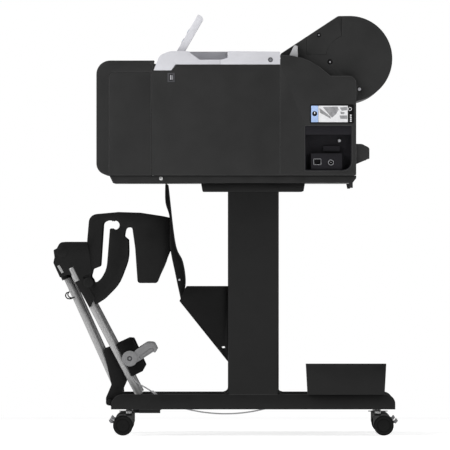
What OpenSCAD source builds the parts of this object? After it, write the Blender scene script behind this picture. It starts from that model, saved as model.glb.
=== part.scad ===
/* [Printer body] */
// Overall width across the side covers
body_w = 1390; // [1380:10:1450]
// Clear width between the two ink towers
opening_w = 950; // [930:5:960]
// Thickness of the moulded covers
wall = 3; // [2.5:0.5:3.5]

/* [Paper] */
// Width of the paper roll
roll_w = 914; // [610:1:914]
// Radius of a full paper roll
roll_r = 72; // [40:1:75]

/* [Operator panel] */
// Width of the tilting operator panel
panel_w = 168; // [120:1:170]
// Length of the panel from its hinge to its free edge
panel_l = 126; // [100:1:127]
// Angle at which the panel stands up
panel_angle = 60; // [40:5:60]

/* [Stand] */
// Distance between the centre planes of the two legs
leg_spacing = 1000; // [980:5:1010]
// Width of a foot and of a column, along the printer
foot_w = 60; // [50:2:64]
// Front-to-back depth of a column
column_d = 141; // [120:1:150]
// Outer width of the accessory pocket
pocket_w = 150; // [100:5:180]

/* [Casters] */
// Radius of a caster wheel
wheel_r = 27.5; // [26:0.5:28]
// Distance of the wheel axle from the swivel axis
trail = 16.5; // [15:0.5:17]

/* [Stacker] */
// Radius of the round stacker tubes
tube_r = 10.8; // [9:0.1:11]
// Thickness of the stacker's side plates
plate_t = 12; // [8:1:14]

/* [Hidden] */
$fn = 48;
half_w = body_w / 2;
half_open = opening_w / 2;
leg_x = leg_spacing / 2;
seam = 0.6;                      // gap between neighbouring covers
door_seam = 1.6;                 // gap round the ink towers' panels
run = 0.06;                      // radial clearance of a running fit
base_z = 699.5;                  // underside of the printer
base_top = 720;                  // top of the base pan
foot_z = 72.6;                   // underside of a foot
foot_top = 114;
column_top = 677;
caster_y = 345;                  // swivel axis of a caster, front and back
axle_z = wheel_r;
roll_axis = [265.6, 1043.2];     // centre of the roll and of the round hood
hood_r = 118.4;
hood_x = half_w - 35;            // outer face of the hood's cheeks
hood_pivot = [292.8, 959];
top_hinge = [47, 1040];
tank_hinge = [-282, 1030];
panel_hinge = [-203.7, 1050];
lever_pivot = [112, 1022];
feed_axis = [44, 922];
feed_r = 15;
pinch_r = 8;
pinch_axis = [44, feed_axis.y + feed_r + pinch_r + 0.3];
end_plate_x = half_open + 15;    // inner face of the frame's end plates
rail_z = [965, 1003];
belt_z = 982.5;                  // height of the belt pulleys' axes
belt_r = 7.5;                    // inner radius of the belt on its pulleys
pulley_x = 640;
carriage_x = 560;                // centre of the carriage in its parked place
carriage_w = 130;
fold_pivot = [-399, 94];         // the stacker folds about this point
plate_x = leg_x - 60;            // centre plane of a stacker side plate
outer_tube_x = leg_x - 91;
outer_tube = [[-516.9, 440], [-381, 140]];
inner_tube = [[-502, 466.2], [-316, 113.2]];
clamp_centre = [-342.9, 213];
pocket_x = [half_w - 192, half_w - 12]; // inside faces of the operator panel's pocket
depth_shift = 77.06;             // from the columns' centre to the middle of the footprint

// ---- shared shapes: side outlines are drawn as [y, z] and extruded along X ----

function unit(v) = v / norm(v);

function signed(a) = a > 180 ? a - 360 : a < -180 ? a + 360 : a;

// Points of an arc from one angle to another
function arc(centre, r, from, to, steps = 24) =
    [for (i = [0:steps]) let(a = from + (to - from) * i / steps) centre + r * [cos(a), sin(a)]];

// Points that round the corner b between a and c with radius r, one every step degrees
function corner(a, b, c, r, step = 9) =
    let(
        u = unit(a - b),
        v = unit(c - b),
        half = acos(max(-1, min(1, u * v))) / 2,
        mid = b + unit(u + v) * r / sin(half),
        start = b + u * r / tan(half) - mid,
        end = b + v * r / tan(half) - mid,
        from = atan2(start.y, start.x),
        turn = signed(atan2(end.y, end.x) - from)
    )
    arc(mid, r, from, from + turn, max(2, ceil(abs(turn) / step)));

function flat(p) = [p.x, p.y];

// Outline whose corners [y, z, radius] are rounded
function rounded(corners) =
    let(count = len(corners))
    [for (i = [0:count - 1])
        let(a = corners[(i + count - 1) % count], b = corners[i], c = corners[(i + 1) % count])
        each b[2] > 0 ? corner(flat(a), flat(b), flat(c), b[2]) : [flat(b)]];

module along_x(x0, x1) {
    translate([x0, 0, 0])
        rotate([90, 0, 90])
            linear_extrude(x1 - x0)
                children();
}

module rod_x(x0, x1, at, r) {
    translate([x0, at.x, at.y])
        rotate([0, 90, 0])
            cylinder(h = x1 - x0, r = r);
}

module box(low, high) {
    translate(low)
        cube(high - low);
}

// Y is measured from the centre of the columns up to here; this puts the origin under the
// middle of the whole machine
module placed() {
    translate([0, depth_shift, 0])
        children();
}

module both_sides() {
    children();
    mirror([1, 0, 0])
        children();
}

// Round bar between two [y, z] points in the plane X = x
module bar(x, ends, r, extra = 0) {
    along = ends[1] - ends[0];
    translate([x, ends[0].x, ends[0].y])
        rotate([-atan2(along.x, along.y), 0, 0])
            translate([0, 0, -extra])
                cylinder(h = norm(along) + 2 * extra, r = r);
}

// ---- frame and covers ----

module end_plate() {
    difference() {
        along_x(end_plate_x, end_plate_x + 4)
            polygon([
                [-262, base_z + 1], [258, base_z + 1], [258, 895], [200, 905], [130, 960],
                [130, 1005], [66, 1005], [66, rail_z[0]], [25, rail_z[0]], [25, 926],
                [-112, 926], [-112, 1005], [-262, 1005]
            ]);
        rod_x(end_plate_x - 1, end_plate_x + 5, feed_axis, 5 + run);
        rod_x(end_plate_x - 1, end_plate_x + 5, pinch_axis, 3 + run);
    }
}

module main_frame() {
    color("dimgray") {
        difference() {
            along_x(-half_w + 5, half_w - 5)
                polygon([
                    [-398, base_top], [-388, base_z], [264, base_z], [267, 686],
                    [274.5, 686], [274.5, base_z + 1], [284, 713], [284, base_top]
                ]);
            box([-half_w + 12, -384, base_z + wall], [half_w - 12, 262, base_top + 1]);
            box([-half_w + 40, 263, 680], [half_w - 40, 276, base_z]);
        }
        both_sides()
            end_plate();
    }
}

// Outline of a side cover, with the slope beside the hood at its top, drawn inward by t
function side_points(t) =
    let(low = base_top + seam + t, front = -283 + door_seam + t)
    rounded([
        [front, low, 2], [284 - t, low, 4], [284 - t, 995.4 - t, 21 - t],
        [212 - 0.4 * t, 995.4 - t, 5 + t], [151 - 0.4 * t, 1052.6 - t, 180 - 4 * t],
        [74.6 + t, 1053.6 - t, 0.5], [74.6 + t, 1026.6 - t, 0],
        [-213 + t / 2, 1026.6 - t, 4], [-226 + t / 2, 1010.2 - t, 4], [-277.8 + t, 1010.2 - t, 1],
        [-279.8 + t, 1005.4 - t, 0], [front, 1005.4 - t, 0.5]
    ]);

// Carrying grip that stands out of the lower rear corner of a side cover
grip_outline = rounded([
    [281.5, 808, 0], [300, 807.5, 8], [320.5, 797, 8], [320.5, 766, 2], [317, 766, 1],
    [281.5, 751, 0]
]);

module side_shell() {
    inner_x = half_w - 31;
    difference() {
        along_x(inner_x, half_w)
            polygon(side_points(0));
        along_x(inner_x - 1, half_w - wall)
            polygon(side_points(wall));
        // the seam between the front and rear halves of the cover
        box([half_w - 0.8, 73.3, base_top + 5], [half_w + 1, 74.2, 1027]);
        // the release lever's slot
        box([half_w - 33, 94, 1000], [half_w - 13, 155, 1070]);
        // the space under the top housing
        box([inner_x - 1, -284, 1000], [half_w - wall, 73, 1030]);
    }
    difference() {
        along_x(half_w - 38, half_w - 4)
            polygon(grip_outline);
        box([half_w - 34, 288, 740], [half_w - 8, 314, 798]);
    }
}

// Outline of the connector recess, drawn outward by grow
function recess_points(grow) = rounded([
    [142.7 - grow, 857 + grow, 2], [271 + grow, 857 + grow, 2],
    [271 + grow, 734 - grow, 24 + grow], [142.7 - grow, 734 - grow, 3]
]);

module side_cover_right() {
    color([0.2, 0.2, 0.2])
        difference() {
            side_shell();
            along_x(half_w - 40, half_w + 1)
                polygon(recess_points(seam));
        }
}

module side_cover_left() {
    color([0.2, 0.2, 0.2])
        mirror([1, 0, 0])
            side_shell();
}

module tower_panel() {
    front = -400 + door_seam;
    back = -283;
    top = 1006.6 - door_seam;
    difference() {
        along_x(half_open, half_w)
            polygon(rounded([
                [front, base_top + seam, 1], [back, base_top + seam, 0], [back, top, 0],
                [front, top, 11]
            ]));
        box([half_open + wall, front - 1, 744], [half_w - wall, back + 1, 1010]);
        box([half_open + wall, front + wall, base_top], [half_w - wall, back + 1, 741]);
    }
    // ears that carry the tank cover's hinge pins
    for (x = [half_open + 4, half_w - 7]) {
        along_x(x, x + 3)
            polygon(rounded([
                [-300, 990, 0], [back - 1, 990, 0], [back - 1, 1012, 0],
                [tank_hinge.x + 4, 1017, 2], [tank_hinge.x + 4, 1034, 3.9],
                [tank_hinge.x - 4, 1034, 3.9], [tank_hinge.x - 4, 1015, 4], [-300, 1003, 2]
            ]));
        box([x, -300, 985], [x + 3, back, 1003]);
    }
    rod_x(half_open + 0.5, half_open + 6, tank_hinge, 2);
    rod_x(half_w - 6, half_w - 0.5, tank_hinge, 2);
    box([half_open + wall - 1, -300, 985], [half_open + 5, back, 1003]);
    box([half_w - 5, -300, 985], [half_w - wall + 1, back, 1003]);
}

module tower_panels() {
    color([0.19, 0.19, 0.2])
        both_sides()
            tower_panel();
}

// Light grey top that runs across the whole printer
top_outline = rounded([
    [-276, 1010.8, 1], [-259, 1053, 22], [-230, 1064, 40], [-71.5, 1064, 1],
    [73.7, 1062.5, 3], [73.7, 1027.2, 0], [-215, 1027.2, 4], [-227, 1010.8, 4]
]);

// Dip that leaves the folded panel open to the side
dip_outline = rounded([
    [-181, 1064.2, 2], [-149, 1040, 6], [-88, 1040.5, 6], [-71.5, 1045.5, 2], [-71.5, 1066, 0],
    [-181, 1066, 0]
]);

module top_housing(has_panel) {
    low_x = half_open + 0.5;
    difference() {
        union() {
            difference() {
                along_x(low_x, half_w)
                    polygon(top_outline);
                along_x(low_x + wall, half_w - wall)
                    polygon([[-271, 1000], [-260.5, 1038], [70, 1038], [70, 1000]]);
                box([low_x + wall, -252, 1030], [half_w - wall, -219, 1050]);
                box([low_x + wall, -220, 1030], [pocket_x[0] - wall, -60, 1060.5]);
                box([low_x + wall, -66, 1030], [half_w - wall, 70, 1059]);
            }
            rod_x(low_x - 7, low_x + 1, top_hinge, 4);
        }
        if (has_panel) {
            along_x(pocket_x[0], half_w + 1)
                polygon(dip_outline);
            box([pocket_x[0], -215.5, 1041.5], [pocket_x[1], -71.5, 1070]);
            rod_x(pocket_x[0] - wall - 1, pocket_x[1] + 7, panel_hinge, 3 + run);
        }
        // seam between the panel's housing and the cap behind it
        box([half_w - 0.8, -92.5, 1020], [half_w + 1, -91.7, 1041.5]);
    }
}

module top_housing_right() {
    color([0.8, 0.8, 0.82])
        top_housing(true);
}

module top_housing_left() {
    color([0.8, 0.8, 0.82])
        mirror([1, 0, 0])
            top_housing(false);
}

module roll_holder() {
    difference() {
        along_x(half_open + 25, half_open + 37)
            polygon(rounded([
                [200, 939.5, 0], [250, 921, 0], [253, 958, 30], [274, 1003, 10],
                [292, 1058, 6], [240, 1058, 14]
            ]));
        rod_x(half_open + 20, half_open + 40, roll_axis, 12.5 + run);
        box([half_open + 20, roll_axis.x - 12.5 - run, roll_axis.y],
            [half_open + 40, roll_axis.x + 12.5 + run, 1070]);
    }
}

module rear_cover() {
    end_x = hood_x - 6;
    color([0.2, 0.2, 0.2]) {
        along_x(-end_x, end_x) {
            // trough under the roll
            polygon(concat(
                arc(roll_axis, 121, 195, 262),
                arc(roll_axis, 124.5, 262, 195)
            ));
            // rear wall and its lip
            polygon([
                [246, 923.2], [284, 914], [284, base_top + 2], [280.5, base_top + 2],
                [280.5, 911.3], [246, 920.4]
            ]);
            // deck in front of the trough
            polygon([
                [69, 1023], [69, 1026.5], [120, 1026.5], [149.5, 1012.5], [146.5, 1009.5],
                [119, 1023]
            ]);
        }
        // guide down to the feed rollers
        box([-half_open + 1, 66, 940], [half_open - 1, 69.5, 1026.5]);
        both_sides() {
            roll_holder();
            // ear and pin that carry the hood
            along_x(end_x - 7, end_x)
                polygon(rounded([
                    [265, 905, 0], [283.9, 885, 0], [283.9, 927, 0], [303, 945, 8], [302, 970, 9],
                    [283, 970, 9], [265, 918, 0]
                ]));
            rod_x(end_x - 1, hood_x + 1.5, hood_pivot, 4);
        }
    }
}

module ejection_guide() {
    color([0.16, 0.16, 0.17])
        along_x(-half_open + 2, half_open - 2)
            polygon(rounded([
                [-75, 935, 0], [-75, 931, 0], [-250, 905, 8], [-288.5, 899, 8],
                [-288.5, base_top + 2, 0], [-292, base_top + 2, 0], [-292, 904, 12], [-250, 909, 8]
            ]));
}

module platen() {
    color([0.25, 0.25, 0.27])
        difference() {
            box([-end_plate_x + 1, -70, 927], [end_plate_x - 1, 24, 936]);
            for (y = [-58, -30, -2])
                box([-half_open + 8, y, 934], [half_open - 8, y + 16, 937]);
        }
}

module carriage_rail() {
    color("silver") {
        along_x(-612, 612)
            polygon([
                [28, rail_z[0]], [58, rail_z[0]], [58, rail_z[0] + 3], [31, rail_z[0] + 3],
                [31, rail_z[1] - 3], [58, rail_z[1] - 3], [58, rail_z[1]], [28, rail_z[1]]
            ]);
        both_sides()
            difference() {
                box([600, 28, 958], [668, 31, 1003]);
                translate([pulley_x, 20, belt_z])
                    rotate([-90, 0, 0])
                        cylinder(h = 20, r = 2.5 + run);
            }
    }
}

module disc_y(x, y0, y1, z, r) {
    translate([x, y0, z])
        rotate([-90, 0, 0])
            cylinder(h = y1 - y0, r = r);
}

module belt_loop(y0, y1, r) {
    disc_y(-pulley_x, y0, y1, belt_z, r);
    disc_y(pulley_x, y0, y1, belt_z, r);
    box([-pulley_x, y0, belt_z - r], [pulley_x, y1, belt_z + r]);
}

module drive_belt() {
    color([0.1, 0.1, 0.1])
        difference() {
            belt_loop(23, 27, belt_r + 1.2);
            belt_loop(22, 28, belt_r);
        }
}

module pulley(x) {
    disc_y(x, 22, 30.9, belt_z, 2.5);
    disc_y(x, 22.4, 27.6, belt_z, belt_r - run);
    disc_y(x, 22, 22.6, belt_z, belt_r + 2.5);
    disc_y(x, 27.3, 27.8, belt_z, belt_r + 2.5);
}

module drive_pulley() {
    color("lightgray")
        pulley(pulley_x);
}

module idle_pulley() {
    color("lightgray")
        pulley(-pulley_x);
}

module carriage() {
    low_x = carriage_x - carriage_w / 2;
    color([0.25, 0.25, 0.28]) {
        along_x(low_x, low_x + carriage_w)
            polygon(rounded([
                [-95, 942, 2], [21.5, 942, 1], [21.5, 1003.6, 0], [52, 1003.6, 1], [52, 1008, 1],
                [-70, 1008, 8], [-95, 980, 8]
            ]));
        // print head face under the carriage
        box([low_x + 20, -66, 938.5], [low_x + carriage_w - 20, -14, 943]);
        // clamp that holds the upper run of the belt
        box([carriage_x - 12, 20, belt_z + belt_r - 2], [carriage_x + 12, 23, belt_z + belt_r + 5]);
    }
}

module feed_roller() {
    color([0.15, 0.15, 0.15]) {
        rod_x(-half_open + 4, half_open - 4, feed_axis, feed_r);
        rod_x(-end_plate_x - 9, end_plate_x + 9, feed_axis, 5);
    }
}

module pinch_rollers() {
    spacing = (opening_w - 60) / 9;
    color([0.5, 0.5, 0.5]) {
        rod_x(-end_plate_x - 9, end_plate_x + 9, pinch_axis, 3);
        for (i = [0:9])
            let(x = -opening_w / 2 + 30 + i * spacing)
                rod_x(x - 14, x + 14, pinch_axis, pinch_r);
    }
}

module ink_tanks() {
    tank_w = 58;
    first_x = half_open + 13;
    pitch = (half_w - half_open - 26 - tank_w) / 2;
    color([0.12, 0.12, 0.13])
        both_sides()
            for (i = [0:2])
                along_x(first_x + i * pitch, first_x + i * pitch + tank_w)
                    polygon(rounded([
                        [-390, 748, 5], [-286, 748, 5], [-286, 976, 5], [-390, 976, 12]
                    ]));
}

module maintenance_cartridge() {
    color([0.3, 0.3, 0.32])
        difference() {
            box([half_open + 45, -235, 760], [half_open + 165, -70, 880]);
            box([half_open + 50, -225, 866], [half_open + 160, -80, 881]);
        }
}

module electrical_units() {
    color([0.45, 0.5, 0.45]) {
        // power supply
        box([-half_w + 35, -200, 712], [-half_open - 45, 20, 800]);
        // control board
        box([half_w - 56, 110, 715], [half_w - 54, 262, 880]);
        box([half_w - 64, 150, 760], [half_w - 56, 190, 800]);
        // carriage motor
        disc_y(pulley_x, 31.2, 72, belt_z, 18);
    }
}

module connector_panel() {
    depth = 40;
    back = half_w - depth;
    color([0.14, 0.14, 0.16]) {
        difference() {
            along_x(back, half_w - 0.6)
                polygon(recess_points(0));
            along_x(back + wall, half_w)
                polygon(recess_points(-2));
        }
        // visor over the recess
        along_x(back + 1, half_w - 0.6)
            polygon(rounded([[143.5, 856, 1], [270, 856, 1], [270, 833, 5], [143.5, 833, 2]]));
        // socket box
        difference() {
            box([back + 1, 159, 736.8], [half_w - 8, 245, 781.4]);
            box([half_w - 20, 166.8, 750.4], [half_w - 7, 186.4, 765.9]);
            rod_x(half_w - 18, half_w - 7, [214.1, 756.2], 7);
        }
        box([back + 1, 192.8, 787], [half_w - 26, 238.8, 801.9]);
    }
}

module case_screws() {
    color("gainsboro") {
        both_sides() {
            rod_x(half_w - 5, half_w - 3.4, [-255.5, 712], 5);
            rod_x(half_w, half_w + 1, top_hinge, 6.8);
        }
        // thumb screw in the connector recess
        rod_x(half_w - 40 + wall, half_w - 28, [237.7, 816.6], 5.4);
    }
}

// ---- moving covers ----

band_outline = rounded([
    [-434, 721.6, 32], [-434, 1038, 38], [-273.5, 1038, 1], [-281, 1006.6, 1],
    [-400, 1006.6, 12], [-400, 721.6, 1]
]);

band_hollow = rounded([
    [-431, 724.6, 29], [-431, 1035, 35], [-270, 1035, 0], [-270, 990, 0], [-390, 990, 0],
    [-390, 724.6, 0]
]);

module tank_cover() {
    difference() {
        along_x(half_open, half_w)
            polygon(band_outline);
        along_x(half_open + wall, half_w - wall)
            polygon(band_hollow);
        rod_x(half_open - 1, half_w + 1, tank_hinge, 2 + run);
    }
}

module tank_cover_right() {
    color([0.2, 0.2, 0.2])
        tank_cover();
}

module tank_cover_left() {
    color([0.2, 0.2, 0.2])
        mirror([1, 0, 0])
            tank_cover();
}

cover_outline = rounded([
    [-276, 1010.8, 1], [-259, 1053, 22], [-230, 1064, 40], [-71.5, 1064, 1],
    [56, 1062.7, 3], [56, 1027.2, 2], [-215, 1027.2, 4], [-227, 1010.8, 4]
]);

cover_hollow = rounded([
    [-272, 1005, 0], [-256, 1050.5, 19], [-229, 1061, 37], [-71.5, 1061, 1],
    [53, 1059.7, 2], [53, 1005, 0]
]);

module top_cover() {
    side_x = half_open - 3;
    color([0.8, 0.8, 0.82])
        difference() {
            along_x(-side_x, side_x)
                polygon(cover_outline);
            along_x(-side_x + wall, side_x - wall)
                polygon(cover_hollow);
            rod_x(-side_x - 1, side_x + 1, top_hinge, 4 + run);
            box([-side_x + 45, -206, 1050], [side_x - 45, -76, 1070]);
        }
}

module cover_window() {
    side_x = half_open - 48.5;
    color([0.2, 0.25, 0.3, 0.5])
        box([-side_x, -205.5, 1060.8], [side_x, -76.5, 1063.6]);
}

// The panel is drawn lying flat behind its hinge, then raised
module raised() {
    translate([half_w - 102, panel_hinge.x, panel_hinge.y])
        rotate([panel_angle, 0, 0])
            children();
}

panel_outline = rounded([
    [-4, -5.4, 5], [panel_l - 4, -5.4, 7], [panel_l, 3, 3], [panel_l, 14, 3], [2, 14, 4]
]);
screen_y = [22, panel_l - 12];
screen_half = panel_w / 2 - 26;
button_x = panel_w / 2 - 13;

module operator_panel() {
    color([0.75, 0.75, 0.77])
        raised()
            difference() {
                union() {
                    along_x(-panel_w / 2, panel_w / 2)
                        polygon(panel_outline);
                    rod_x(-92, 94, [0, 0], 3);
                }
                box([-screen_half, screen_y[0], 12], [screen_half, screen_y[1], 15]);
                for (y = [42, 72])
                    translate([button_x, y, 8])
                        cylinder(h = 10, r = 7 + run);
            }
}

module touch_screen() {
    color([0.05, 0.07, 0.1])
        raised()
            box([-screen_half + 0.3, screen_y[0] + 0.3, 12.02],
                [screen_half - 0.3, screen_y[1] - 0.3, 13.8]);
}

module panel_button(y) {
    raised()
        translate([button_x, y, 10])
            cylinder(h = 5, r = 7);
}

module power_button() {
    color([0.4, 0.4, 0.42])
        panel_button(72);
}

module stop_button() {
    color([0.4, 0.4, 0.42])
        panel_button(42);
}

hood_front = [75.6, 1057.2];
hood_knee = [233.8, 1161.2];

// Side outline of the hood, its round back starting at the angle from
function hood_points(from, grow) = concat(
    [hood_front + grow * [0, 1.2]],
    corner(hood_front, hood_knee + grow * [0, 1], [320, hood_knee.y + grow], 14),
    arc(roll_axis, hood_r + grow, 88, from, 40)
);

module hood_shell(x0, x1, from) {
    along_x(x0, x1)
        difference() {
            polygon(hood_points(from, 0));
            polygon(concat(hood_points(from - 2, -3.6), [[78, 1040]]));
        }
}

// Groove in a cheek, round the part of the hood that lifts with it
module cheek_seam() {
    low_x = hood_x - 2.5;
    groove = 1.4;
    box([low_x, 146, 1053.4], [hood_x + 1, 146 + groove, 1110]);
    box([low_x, 146, 1053.4], [hood_x + 1, 201.4, 1053.4 + groove]);
    box([low_x, 243.4, 1105], [hood_x + 1, 243.4 + groove, 1170]);
    along_x(low_x, hood_x + 1)
        polygon(concat(arc(roll_axis, 65, 171, 109), arc(roll_axis, 65 + groove, 109, 171)));
}

module roll_cover() {
    cheek_x = hood_x - 5;
    color([0.21, 0.21, 0.21]) {
        hood_shell(-cheek_x + 9, cheek_x - 9, -79.5);
        both_sides() {
            hood_shell(cheek_x - 9.5, cheek_x + 1, -40);
            difference() {
                along_x(cheek_x, hood_x)
                    polygon(hood_points(-79.5, 0));
                rod_x(cheek_x - 1, hood_x + 1, hood_pivot, 4 + run);
                cheek_seam();
                for (hole = [[180.9, 1108.6, 6.4], [211.6, 1034.3, 7.8]])
                    rod_x(hood_x - 2, hood_x + 1, flat(hole), hole[2]);
            }
        }
    }
}

module release_lever() {
    low_x = half_w - 30;
    color([0.65, 0.65, 0.66])
        union() {
            along_x(low_x, low_x + 14)
                polygon(rounded([
                    [103, 1013, 8], [121, 1013, 8], [122.5, 1052, 10], [122, 1079.5, 4],
                    [112.5, 1080, 4], [100, 1054, 10]
                ]));
            rod_x(low_x - 3, low_x + 24, lever_pivot, 4);
        }
}

module paper_roll() {
    color("white")
        difference() {
            rod_x(-roll_w / 2, roll_w / 2, roll_axis, roll_r);
            rod_x(-roll_w / 2 - 1, roll_w / 2 + 1, roll_axis, 25.4);
        }
}

module roll_spindle() {
    color([0.25, 0.25, 0.28]) {
        rod_x(-half_open - 60, half_open + 60, roll_axis, 12.5);
        both_sides() {
            rod_x(roll_w / 2 - 20, roll_w / 2 + 1, roll_axis, 25.3);
            rod_x(roll_w / 2 + 0.3, roll_w / 2 + 7, roll_axis, 82);
            rod_x(half_open + 45, half_open + 60, roll_axis, 30);
        }
    }
}

// ---- stand ----

module stand_leg() {
    translate([leg_x, 0, foot_top])
        linear_extrude(column_top - foot_top)
            polygon(rounded([
                [-foot_w / 2, -column_d / 2, 6], [foot_w / 2, -column_d / 2, 6],
                [foot_w / 2, column_d / 2, 6], [-foot_w / 2, column_d / 2, 6]
            ]));
    // head plate under the printer
    along_x(leg_x - foot_w / 2 - 15, leg_x + foot_w / 2 + 15)
        polygon(rounded([
            [-141, column_top - 0.5, 3], [139, column_top - 0.5, 3], [143, base_z, 0.5],
            [-145, base_z, 0.5]
        ]));
    // fillets at the foot
    for (side = [-1, 1])
        difference() {
            box([leg_x - foot_w / 2 + 6, side > 0 ? column_d / 2 - 1 : -column_d / 2 - 12, foot_top],
                [leg_x + foot_w / 2 - 6, side > 0 ? column_d / 2 + 12 : -column_d / 2 + 1,
                    foot_top + 13]);
            rod_x(leg_x - foot_w / 2, leg_x + foot_w / 2,
                [side * (column_d / 2 + 12), foot_top + 13], 12);
        }
}

module stand_columns() {
    color([0.15, 0.15, 0.15])
        both_sides()
            stand_leg();
}

module stand_feet() {
    color([0.15, 0.15, 0.15])
        both_sides() {
            along_x(leg_x - foot_w / 2, leg_x + foot_w / 2)
                polygon(rounded([
                    [-394.5, foot_z, 1], [393.3, foot_z, 1], [393.3, foot_top, 26],
                    [-394.5, foot_top, 32]
                ]));
            // block that guides the cable under the foot
            box([leg_x - foot_w / 2 + 4, -316, foot_z - 10.3],
                [leg_x + foot_w / 2 - 4, -258, foot_z + 1]);
            box([leg_x - foot_w / 2, -333, foot_z - 10.3],
                [leg_x - foot_w / 2 + 2.4, -258, foot_z + 1]);
            box([leg_x - foot_w / 2 + 1, -316, foot_z - 10.3],
                [leg_x - foot_w / 2 + 5, -258, foot_z + 1]);
            // boss and pin that the stacker folds about
            rod_x(leg_x - 72, leg_x - foot_w / 2 + 1, fold_pivot + [3, 0], 4);
            rod_x(leg_x - 106, leg_x - 30 + 1, fold_pivot, 6);
        }
}

module stand_stay() {
    inner = leg_x - foot_w / 2;
    color([0.15, 0.15, 0.15])
        difference() {
            box([-inner, -22, 470], [inner, 22, 540]);
            box([-inner + 8, -18, 465], [inner - 8, 18, 536]);
        }
}

module gussets() {
    color([0.1, 0.1, 0.1]) {
        both_sides()
            difference() {
                along_x(leg_x - 6, leg_x + 6)
                    polygon(rounded([
                        [-column_d / 2, 411.6, 0], [-187, 411.6, 4], [-205, 372.8, 3],
                        [-column_d / 2, 204.7, 0]
                    ]));
                rod_x(leg_x - 7, leg_x + 7, [-82.8, 242], 5.5);
            }
        rod_x(-leg_x + 5.5, leg_x - 5.5, [-190, 378], 5);
    }
}

// Cloth that hangs slack from the printer's front edge to the bar between the gussets
sheet_outline = rounded([
    [-245.5, 698.9, 0], [-242, 610, 8], [-230.6, 603, 4], [-230.6, 520, 40], [-201, 368, 1],
    [-198, 368, 1], [-187, 428, 40], [-198, 483, 15], [-217.5, 523, 10], [-238.8, 698, 0]
]);

module guide_sheet() {
    color([0.13, 0.13, 0.13])
        along_x(-leg_x + 12, leg_x - 12)
            polygon(sheet_outline);
}

module accessory_pocket() {
    color([0.15, 0.15, 0.15])
        difference() {
            along_x(leg_x - pocket_w / 2, leg_x + pocket_w / 2)
                polygon([[150, foot_top], [363.4, foot_top], [368, 198.9], [145.4, 198.9]]);
            along_x(leg_x - pocket_w / 2 + wall, leg_x + pocket_w / 2 - wall)
                polygon([[153, foot_top + wall], [360.4, foot_top + wall], [365.4, 200], [148.4, 200]]);
        }
}

// Round cord along a [y, z] line in the plane X = x
module cord(x, line, r, sides = 10) {
    count = len(line);
    function along(i) = unit(line[min(i + 1, count - 1)] - line[max(i - 1, 0)]);
    polyhedron(
        points = [for (i = [0:count - 1]) for (j = [0:sides - 1])
            let(t = along(i), a = j * 360 / sides)
            [x + r * cos(a), line[i].x + r * sin(a) * t.y, line[i].y - r * sin(a) * t.x]],
        faces = concat(
            [[for (j = [0:sides - 1]) j]],
            [[for (j = [1:sides]) count * sides - j]],
            [for (i = [0:count - 2]) for (j = [0:sides - 1])
                let(a = i * sides + j, b = i * sides + (j + 1) % sides)
                [a, a + sides, b + sides, b]]
        )
    );
}

// The cable drops beside the foot, sags under it and climbs the column
cable_corners = [[-280, 124], [-232, 83.7], [-75, 48.3], [60, 80.2], [60, 660]];
cable_line = concat(
    [cable_corners[0]],
    corner(cable_corners[0], cable_corners[1], cable_corners[2], 30),
    corner(cable_corners[1], cable_corners[2], cable_corners[3], 440, 2),
    corner(cable_corners[2], cable_corners[3], cable_corners[4], 22),
    [cable_corners[4]]
);

module sensor_cable() {
    color([0.75, 0.75, 0.75])
        cord(leg_x - foot_w / 2 - 3, cable_line, 2);
}

// ---- casters: drawn about the swivel axis, with the wheels trailing towards -Y ----

module at_caster(side, end) {
    translate([side * leg_x, end * caster_y, 0])
        rotate([0, 0, end > 0 ? 180 : 0])
            children();
}

wheel_axle = [-trail, axle_z];
brake_pin = wheel_axle + [-22, 9];

module caster_fork() {
    color([0.14, 0.14, 0.14])
        difference() {
            union() {
                along_x(-26, 26)
                    polygon(concat(
                        arc([-15, 32.5], 28, 165, 90, 16),
                        [[12.6, 60.5], [12.6, 31], [8, 20], wheel_axle + [0, -4]]
                    ));
                // stem with its plate
                translate([0, 0, 48])
                    cylinder(h = foot_z - 48, r = 8);
                translate([0, 0, foot_z - 5.9])
                    cylinder(h = 2.3, r = 27);
            }
            for (side = [-1, 1]) {
                rod_x(side > 0 ? 8.2 : -27, side > 0 ? 27 : -8.2, wheel_axle, wheel_r + 0.9);
                // notch that shows the stem
                box([side > 0 ? 8.6 : -27, -8, 55], [side > 0 ? 27 : -8.6, 8, 61]);
            }
            // slot of the brake pedal
            difference() {
                along_x(-5.3, 5.3)
                    polygon([[-62, 52], [-62, 20], [-44, 24], [-32, 30], [-31, 42], [-38, 48]]);
                rod_x(-6, 6, brake_pin, 2);
            }
            rod_x(-30, 30, wheel_axle, 3 + run);
        }
}

module caster_wheels() {
    color([0.14, 0.14, 0.14]) {
        rod_x(-24, 24, wheel_axle, 3);
        for (x0 = [-23.5, 9.5])
            difference() {
                rod_x(x0, x0 + 14, wheel_axle, wheel_r);
                rod_x(x0 > 0 ? x0 + 10 : x0 - 1, x0 > 0 ? x0 + 15 : x0 + 4, wheel_axle, wheel_r - 9);
            }
    }
}

module caster_brake() {
    color([0.8, 0.8, 0.8])
        difference() {
            union() {
                // pedal
                along_x(-15, 15)
                    polygon(rounded([
                        [-50.6, 49.2, 1.5], [-55.9, 41, 1.5], [-49, 32, 1.5], [-44, 40.4, 1.5]
                    ]));
                // its shank between the wheels
                along_x(-5, 5)
                    polygon([[-47.5, 43], [-50, 35.5], brake_pin + [0, -4], brake_pin + [0, 4]]);
                rod_x(-5, 5, brake_pin, 4);
            }
            rod_x(-6, 6, brake_pin, 2 + run);
        }
}

// ---- stacker ----

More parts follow.
